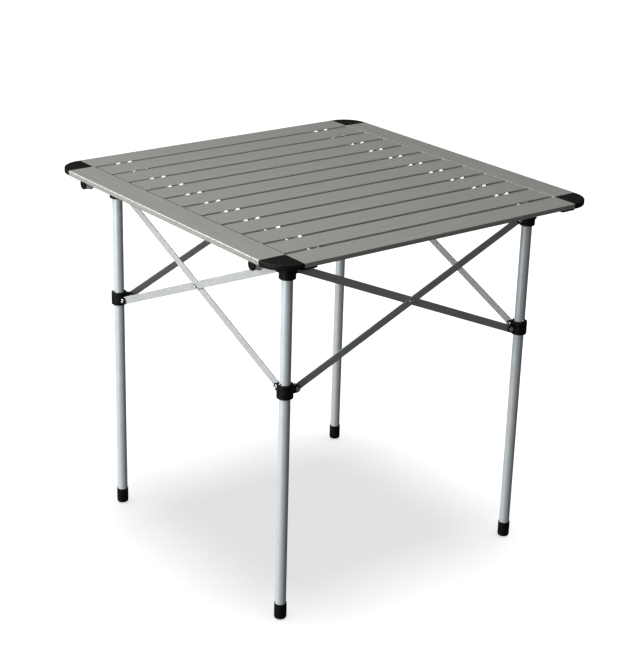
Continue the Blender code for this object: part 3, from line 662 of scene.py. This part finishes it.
def add_corner_caps():
    """Moulded caps with a rounded rim, a parting line and tongues in the rail and in the edge slat."""
    foot, seam_z = -PANEL_THICKNESS, -PANEL_THICKNESS * SEAM_LEVEL
    round_centre = (RAIL_OUTER - CORNER_RADIUS, PANEL_HALF_DEPTH - CORNER_RADIUS)
    outline = [(RAIL_INNER, EDGE_SLAT_INNER), (RAIL_OUTER, EDGE_SLAT_INNER)]
    outline += arc(round_centre, CORNER_RADIUS, 0, 90, CORNER_STEPS)
    outline += [(RAIL_INNER, PANEL_HALF_DEPTH)]
    plate = rim_bevelled(prism(outline, foot, 0.0), 2, CORNER_EDGE_RADIUS)
    seam_outline = arc(round_centre, CORNER_RADIUS + PANEL_THICKNESS, 0, 90, CORNER_STEPS)
    seam_outline += arc(round_centre, CORNER_RADIUS - SEAM_DEPTH, 90, 0, CORNER_STEPS)
    seam = prism(seam_outline, seam_z - SEAM_WIDTH / 2, seam_z + SEAM_WIDTH / 2)
    rail_room, slat_room = RAIL_WALL + SEAT_GAP, SLAT_WALL + SEAT_GAP
    rail_tongue = box((RAIL_INNER + rail_room, EDGE_SLAT_INNER - CORNER_TONGUE, foot + rail_room),
                      (RAIL_OUTER - rail_room, EDGE_SLAT_INNER + CORNER_EDGE_RADIUS, -rail_room))
    slat_tongue = box((RAIL_INNER - CORNER_TONGUE, EDGE_SLAT_INNER + slat_room, slat_room - SLAT_HEIGHT),
                      (RAIL_INNER + CORNER_EDGE_RADIUS, PANEL_HALF_DEPTH - slat_room, -slat_room))
    tip, low = RAIL_INNER - CLIP_REACH, foot - CLIP_DROP
    root, crown = RAIL_INNER + 2 * CLIP_DROP, slat_room + CORNER_RIB - SLAT_HEIGHT
    side = [(root, foot + CORNER_RIB), (RAIL_INNER + CLIP_DROP, low)]
    side += arc((tip + CLIP_ROUNDING, low + CLIP_ROUNDING), CLIP_ROUNDING, 270, 180, 2 * ROUND_STEPS)
    side += [(tip, crown), (root, crown)]
    clip_outer = PANEL_HALF_DEPTH - SLAT_LIP - SEAT_GAP
    clip = prism(side, clip_outer - CLIP_WIDTH, clip_outer, "Y")
    cap = combined(plate, additions=[rail_tongue, slat_tongue, clip], cutters=[seam])
    other_cap = moved(cap, Matrix.Scale(-1, 4, (1, 0, 0)))
    for corner, mesh, turn in (("rear_right", cap, 0.0), ("front_left", cap, math.pi),
                               ("rear_left", other_cap, 0.0), ("front_right", other_cap, math.pi)):
        stand_in(f"corner_cap_{corner}", mesh, "black_plastic", (0, 0, TOP), turn)


def add_bars():
    """Round bars under the top, their end plugs, and the screws that hold them."""
    inner, middle = BAR_RADIUS - BAR_WALL, Vector((0, 0, 0))
    profile = [(inner, -BAR_HALF), (BAR_RADIUS, -BAR_HALF), (BAR_RADIUS, BAR_HALF), (inner, BAR_HALF)]
    bar = moved(turned(profile, TUBE_SIDES), along_x(middle))
    edge, thick = BAR_CAP_EDGE, BAR_CAP_THICKNESS
    rim = [(0, SEAT_GAP), (BAR_RADIUS, SEAT_GAP)]
    rim += arc((BAR_RADIUS - edge, thick - edge), edge, 0, 90, ROUND_STEPS)
    dish = thick - 2 * SEAM_DEPTH
    rim += [(BAR_RADIUS * BAR_CAP_DISH[0], thick), (BAR_RADIUS * BAR_CAP_DISH[1], dish), (0, dish)]
    plug = moved(turned(rim, MOULDED_SIDES), along_x(middle))
    screw = screw_mesh()
    for bar_name, y in (("front", -LEG_PLACE), ("rear", LEG_PLACE)):
        stand_in(f"bar_{bar_name}", bar, "tube_aluminium", (0, y, BAR_AXIS_Z))
        for end_name, sign, turn in (("left", -1, math.pi), ("right", 1, 0.0)):
            end = f"{bar_name}_{end_name}"
            stand_in(f"bar_cap_{end}", plug, "black_plastic", (sign * BAR_HALF, y, BAR_AXIS_Z), turn)
            stand_in(f"bar_screw_{end}", screw, "steel_fasteners", (sign * RAIL_MIDDLE, y, BAR_AXIS_Z))


def screw_mesh():
    """Pan-head screw with a cross recess, z = 0 at the bar's axis, its head below."""
    head = screw_box[1].x - (screw_box[0].x + screw_box[1].x) / 2
    seat, tip = -BAR_RADIUS - SEAT_GAP, screw_box[1].z - BAR_AXIS_Z
    low, shank = seat - SCREW_HEAD_HEIGHT, head / 2
    crown, rim = head * SCREW_CROWN, SCREW_HEAD_HEIGHT * SCREW_RIM
    profile = [(0, low), (crown, low)]
    profile += arc((crown, seat - rim), SCREW_HEAD_HEIGHT - rim, -90, 0, ROUND_STEPS)[1:-1]
    profile += [(head, seat - rim), (head, seat), (shank, seat), (shank, tip - shank / 2),
                (shank / 2, tip), (0, tip)]
    length, width, depth = SCREW_RECESS
    slots = [box((-a / 2, -b / 2, low - depth), (a / 2, b / 2, low + depth))
             for a, b in ((length, width), (width, length))]
    return combined(turned(profile, RIVET_SIDES), cutters=slots)


# Frame

def rivet_end(radius, rise, bore):
    """Rolled head of a tubular rivet about Z, its seat at z = 0 and a hollow in its middle."""
    lip = (radius - bore) / 2
    profile = [(0, 0), (radius, 0)]
    for step in range(1, 2 * ROUND_STEPS):
        angle = math.pi * step / (2 * ROUND_STEPS)
        profile.append((bore + lip + lip * math.cos(angle), rise * math.sin(angle)))
    profile += [(bore, rise * RIVET_FLOOR), (0, rise * RIVET_FLOOR)]
    return turned(profile, RIVET_SIDES)


def through_rivet(end, half, shank_radius):
    """Rivet along Z in three meshes: a rolled head on each side and the shank between them."""
    outward = Matrix.Translation((0, 0, half))
    shank = turned([(0, -half), (shank_radius, -half), (shank_radius, half), (0, half)], RIVET_SIDES)
    return [moved(end, outward), moved(end, Matrix.Rotation(math.pi, 4, "X") @ outward), shank]


def leg_mesh():
    """Plain tube, open at both ends."""
    outer = LEG_DIAMETER / 2
    inner = outer - LEG_WALL
    return turned([(inner, LEG_BOTTOM), (outer, LEG_BOTTOM), (outer, LEG_TOP), (inner, LEG_TOP)], TUBE_SIDES)


def foot_mesh():
    """Cup over the end of the leg: rounded below, with a bead at its rim."""
    rounding, rim, inner = FOOT_ROUNDING, FOOT_RIM, FOOT_RADIUS - SEAM_DEPTH
    profile = [(0, 0), (FOOT_RADIUS - rounding, 0)]
    profile += arc((FOOT_RADIUS - rounding, rounding), rounding, -75, 0, 2 * ROUND_STEPS)
    profile += [(radius, FOOT_HEIGHT - level * rim)
                for radius, level in zip((FOOT_RADIUS, inner, inner, FOOT_RADIUS), FOOT_GROOVE)]
    profile += arc((FOOT_RADIUS - rim / 2, FOOT_HEIGHT - rim / 2), rim / 2, 0, 90, RIM_STEPS)
    profile += [(BORE_RADIUS, FOOT_HEIGHT), (BORE_RADIUS, LEG_BOTTOM - SEAT_GAP), (0, LEG_BOTTOM - SEAT_GAP)]
    return turned(profile, MOULDED_SIDES)


def drum_mesh(pin_z):
    """Drum about a leg's axis with rounded rims, solid until it is bored."""
    low, high, rim = pin_z - DRUM_HEIGHT / 2, pin_z + DRUM_HEIGHT / 2, DRUM_ROUNDING
    profile = [(0, low)]
    profile += arc((DRUM_RADIUS - rim, low + rim), rim, -90, 0, RIM_STEPS)
    profile += arc((DRUM_RADIUS - rim, high - rim), rim, 0, 90, RIM_STEPS)
    profile += [(0, high)]
    return turned(profile, MOULDED_SIDES)


def ear_tools(inset, pin_z):
    """An ear along +X for a brace at this inset along +Y: its block and the cutter of its slot."""
    half, slot_half, margin = EAR_WIDTH / 2, BRACE_THICKNESS / 2 + SEAT_GAP, EAR_RADIUS / 2
    outline = [(0, pin_z - EAR_RADIUS)]
    outline += arc((PIN_OFFSET, pin_z), EAR_RADIUS, -90, 90, EAR_STEPS)
    outline += [(0, pin_z + EAR_RADIUS)]
    block = prism(outline, inset - half, inset + half, "Y")
    slot = box((PIN_OFFSET - BRACE_WIDTH / 2 - SEAT_GAP, inset - slot_half, pin_z - EAR_RADIUS - margin),
               (PIN_OFFSET + EAR_RADIUS + margin, inset + slot_half, pin_z + EAR_RADIUS + margin))
    return block, slot


def with_ears(drum, inset_x, inset_y, pin_z, additions, cutters):
    """A drum with an ear along +X and one along +Y."""
    ears = [ear_tools(inset_x, pin_z), [moved(mesh, SWAP) for mesh in ear_tools(inset_y, pin_z)]]
    blocks, slots = zip(*ears)
    return combined(drum, additions=[*additions, *blocks], cutters=[*cutters, *slots], bevel=EAR_EDGE)


def slider_mesh():
    """Drum that slides on a leg, bored right through, with an ear for each of its two braces."""
    low, high = SLIDER_PIN_Z - DRUM_HEIGHT, SLIDER_PIN_Z + DRUM_HEIGHT
    bore = turned([(0, low), (BORE_RADIUS, low), (BORE_RADIUS, high), (0, high)], MOULDED_SIDES)
    return with_ears(drum_mesh(SLIDER_PIN_Z), OUTER_INSET, INNER_INSET, SLIDER_PIN_Z, [], [bore])


def head_mesh(bar_runs_along_x):
    """Head with a cradle for the bar, its wall on the side toward the middle of the table."""
    trough, reach = BAR_RADIUS + SEAT_GAP, SADDLE_REACH * DRUM_RADIUS
    top = BAR_AXIS_Z + SADDLE_LIP_RISE
    plan = rounded_rectangle((-DRUM_RADIUS, -DRUM_RADIUS), (DRUM_RADIUS, trough + SADDLE_LIP), SADDLE_CORNER,
                             SADDLE_STEPS)
    cradle = arc((0, BAR_AXIS_Z), trough, -90, 0, CRADLE_STEPS)
    cradle += [(trough, top + SADDLE_LIP), (-reach, top + SADDLE_LIP), (-reach, SADDLE_FLOOR)]
    saddle = [prism(plan, HEAD_PIN_Z, top), prism(cradle, -reach, reach, "X")]
    if not bar_runs_along_x:
        saddle = [moved(mesh, SWAP) for mesh in saddle]
    low, high = HEAD_PIN_Z - DRUM_HEIGHT, LEG_TOP + SEAT_GAP
    bore = turned([(0, low), (BORE_RADIUS, low), (BORE_RADIUS, high), (0, high)], MOULDED_SIDES)
    return with_ears(drum_mesh(HEAD_PIN_Z), INNER_INSET, OUTER_INSET, HEAD_PIN_Z,
                     [saddle[0]], [saddle[1], bore])


def add_legs():
    """Legs, feet, heads and sliders with the rivets in their ears, and the stop rivet above each slider."""
    leg, foot, slider = leg_mesh(), foot_mesh(), slider_mesh()
    heads = (head_mesh(bar_runs_along_x=True), head_mesh(bar_runs_along_x=False))
    rivet = rivet_end(RIVET_RADIUS, RIVET_RISE, RIVET_BORE)
    stop = rivet_end(STOP_RADIUS, STOP_RISE + LEG_WALL / 2, STOP_BORE)
    stop_z = SLIDER_PIN_Z + DRUM_HEIGHT / 2 + SEAT_GAP + STOP_RADIUS
    in_wall = Matrix.Translation((0, 0, (LEG_DIAMETER - LEG_WALL) / 2))
    stop_mesh = moved(stop, Matrix.Rotation(math.pi / 2, 4, "X") @ in_wall)
    for quarter, corner in enumerate(CORNERS):
        axis, turn = turned_place((-LEG_PLACE, -LEG_PLACE, 0), quarter), quarter * math.pi / 2
        leg_body, slider_body = nodes[f"leg_{corner}"]["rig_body"], nodes[f"slider_{corner}"]["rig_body"]
        stand_in(f"leg_{corner}", leg, "tube_aluminium", axis, turn)
        stand_in(f"foot_{corner}", foot, "foot_plastic", axis, turn)
        stand_in(f"head_{corner}", heads[quarter % 2], "black_plastic", axis, turn)
        stand_in(f"slider_{corner}", slider, "black_plastic", axis, turn)
        stop_turn = SIDES.index(STOP_SIDES[corner]) * math.pi / 2
        add_piece(f"stop_rivet_{corner}", stop_mesh, "steel_fasteners", leg_body,
                  axis + Vector((0, 0, stop_z)), stop_turn)
        add_ear_rivets(f"head_rivets_{corner}", rivet, leg_body, axis, turn,
                       (INNER_INSET, OUTER_INSET), HEAD_PIN_Z)
        add_ear_rivets(f"slider_rivets_{corner}", rivet, slider_body, axis, turn,
                       (OUTER_INSET, INNER_INSET), SLIDER_PIN_Z)


def add_ear_rivets(name, rivet, body, axis, turn, insets, pin_z):
    """The rivets through the two ears of a head or slider, the second ear mirrored from the first."""
    parts = []
    for number, inset in enumerate(insets):
        for part in through_rivet(rivet, EAR_WIDTH / 2, EAR_PIN_RADIUS):
            mesh = moved(part, along_y((PIN_OFFSET, inset, pin_z)))
            parts.append(moved(mesh, SWAP) if number else mesh)
    add_piece(name, joined(parts), "steel_fasteners", body, axis, turn)


def brace_mesh(inset, lean):
    """Flat bar with round ends and rolled edges, turned by the angle lean about its middle."""
    half_width, half_thick = BRACE_WIDTH / 2, BRACE_THICKNESS / 2
    outline = arc((BRACE_HALF_PIN, 0), half_width, -90, 90, BRACE_END_STEPS)
    outline += arc((-BRACE_HALF_PIN, 0), half_width, 90, 270, BRACE_END_STEPS)
    flat = rim_bevelled(prism(outline, -half_thick, half_thick, "Y"), 1, BRACE_EDGE)
    place = Matrix.Translation((0, inset - LEG_PLACE, CROSS_Z))
    return moved(flat, place @ Matrix.Rotation(lean, 4, "Y"))


def add_braces():
    """Two crossing braces on each side, and the rivet through them."""
    inner, outer = brace_mesh(INNER_INSET, BRACE_ANGLE), brace_mesh(OUTER_INSET, -BRACE_ANGLE)
    grip = BRACE_THICKNESS + BRACE_CROSS_GAP / 2 + SEAT_GAP
    end = rivet_end(CROSS_RIVET_RADIUS, RIVET_RISE, CROSS_RIVET_BORE)
    rivet = joined(through_rivet(end, grip, RIVET_BORE))
    rivet = moved(rivet, along_y((0, CROSS_INSET - LEG_PLACE, CROSS_Z)))
    for quarter, side in enumerate(SIDES):
        turn = quarter * math.pi / 2
        stand_in(f"brace_{side}_inner", inner, "brace_aluminium", turn=turn)
        stand_in(f"brace_{side}_outer", outer, "brace_aluminium", turn=turn)
        stand_in(f"cross_rivet_{side}", rivet, "steel_fasteners", turn=turn)


def dress_cords():
    """The elastic cords keep their shape and get a braided finish."""
    for side in ("left", "right"):
        cord = nodes[f"elastic_cord_{side}"]
        cord.data.materials.clear()
        cord.data.materials.append(FINISHES["elastic_cord"])


# Camera, light and floor

def add_camera():
    """Camera that looks at its aim; the photograph is taller than wide, so its height fills the sensor."""
    turn, rise, roll = (math.radians(angle) for angle in (CAMERA_TURN, CAMERA_RISE, CAMERA_ROLL))
    back = Vector((math.sin(turn) * math.cos(rise), -math.cos(turn) * math.cos(rise), math.sin(rise)))
    level = Vector((math.cos(turn), math.sin(turn), 0.0))
    upright = back.cross(level)
    right = math.cos(roll) * level + math.sin(roll) * upright
    up = math.cos(roll) * upright - math.sin(roll) * level
    place = level * CAMERA_AIM[0] + Vector((0, 0, CAMERA_AIM[1])) + back * CAMERA_DISTANCE
    camera = bpy.data.objects.new("camera", bpy.data.cameras.new("camera"))
    camera.data.sensor_width = SENSOR
    camera.data.lens = CAMERA_FOCAL * SENSOR / PHOTO_HEIGHT
    camera.matrix_world = Matrix.Translation(place) @ Matrix((right, up, back)).transposed().to_4x4()
    bpy.context.collection.objects.link(camera)
    bpy.context.scene.camera = camera


def add_light(name, place, aim, size, power):
    """Soft rectangular light that faces a point."""
    light = bpy.data.objects.new(name, bpy.data.lights.new(name, "AREA"))
    light.data.shape = "RECTANGLE"
    light.data.size, light.data.size_y = size
    light.data.energy = power
    light.location = place
    light.rotation_euler = (Vector(aim) - Vector(place)).to_track_quat("-Z", "Y").to_euler()
    bpy.context.collection.objects.link(light)
    return light


def add_sun(name, source, strength):
    """Wide light from far away, from the direction of its source."""
    light = bpy.data.objects.new(name, bpy.data.lights.new(name, "SUN"))
    light.data.energy = strength
    light.data.angle = math.radians(SUN_SPREAD)
    light.rotation_euler = Vector(source).to_track_quat("Z", "Y").to_euler()
    bpy.context.collection.objects.link(light)
    return light


def add_floor():
    """Pale floor that glows evenly, seen by the camera only, so that it throws no light on the table."""
    corners = ((-1, -1), (1, -1), (1, 1), (-1, 1))
    bm = bmesh.new()
    bm.faces.new([bm.verts.new((x * FLOOR_HALF, y * FLOOR_HALF, -FLOOR_DROP)) for x, y in corners])
    floor = bpy.data.objects.new("floor", finish_mesh(bm, "floor"))
    bpy.context.collection.objects.link(floor)
    finish = Finish("floor", specular=0.0)
    finish.shader.inputs["Base Color"].default_value = (*FLOOR_TONE, 1.0)
    finish.shader.inputs["Roughness"].default_value = 1.0
    finish.shader.inputs["Emission Color"].default_value = WHITE
    finish.shader.inputs["Emission Strength"].default_value = FLOOR_GLOW
    floor.data.materials.append(finish.material)
    floor.visible_diffuse = False
    floor.visible_glossy = False
    floor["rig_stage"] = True
    return floor


def add_world(strength):
    """Even fill light, with a white background behind the floor."""
    world = bpy.data.worlds.new("studio")
    bpy.context.scene.world = world
    world.use_nodes = True
    tree = world.node_tree
    background = tree.nodes["Background"]
    background.inputs["Color"].default_value = WHITE
    path, ranged = tree.nodes.new("ShaderNodeLightPath"), tree.nodes.new("ShaderNodeMapRange")
    ranged.inputs["To Min"].default_value = strength
    ranged.inputs["To Max"].default_value = 1.0
    tree.links.new(path.outputs["Is Camera Ray"], ranged.inputs["Value"])
    tree.links.new(ranged.outputs["Result"], background.inputs["Strength"])


def lit_only(light, name, objects):
    """Lets a light shine on these objects alone; everything still casts its shadow."""
    group = bpy.data.collections.new(name)
    for lit in objects:
        group.objects.link(lit)
    light.light_linking.receiver_collection = group
    return light


def add_studio():
    """Soft lights for the table, a sun above for the floor alone, and a sun for the cords alone."""
    bpy.context.scene.view_settings.view_transform = "Standard"
    floor = add_floor()
    add_world(WORLD_FILL)
    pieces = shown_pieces()
    for name, place, size, power in STUDIO_LIGHTS:
        lit_only(add_light(name, place, LIGHT_AIM, size, power), f"{name}_lit", pieces)
    lit_only(add_sun("above", FLOOR_LIGHT_FROM, FLOOR_LIGHT), "above_lit", [floor])
    cords = lit_only(add_sun("cords", CORD_LIGHT_FROM, CORD_LIGHT), "cords_lit",
                     [nodes["elastic_cord_left"], nodes["elastic_cord_right"]])
    # The slats over the cords don't hold this light off
    cords.light_linking.blocker_collection = cords.light_linking.receiver_collection


add_slats()
add_rails()
add_corner_caps()
add_bars()
add_legs()
add_braces()
dress_cords()
add_camera()
add_studio()
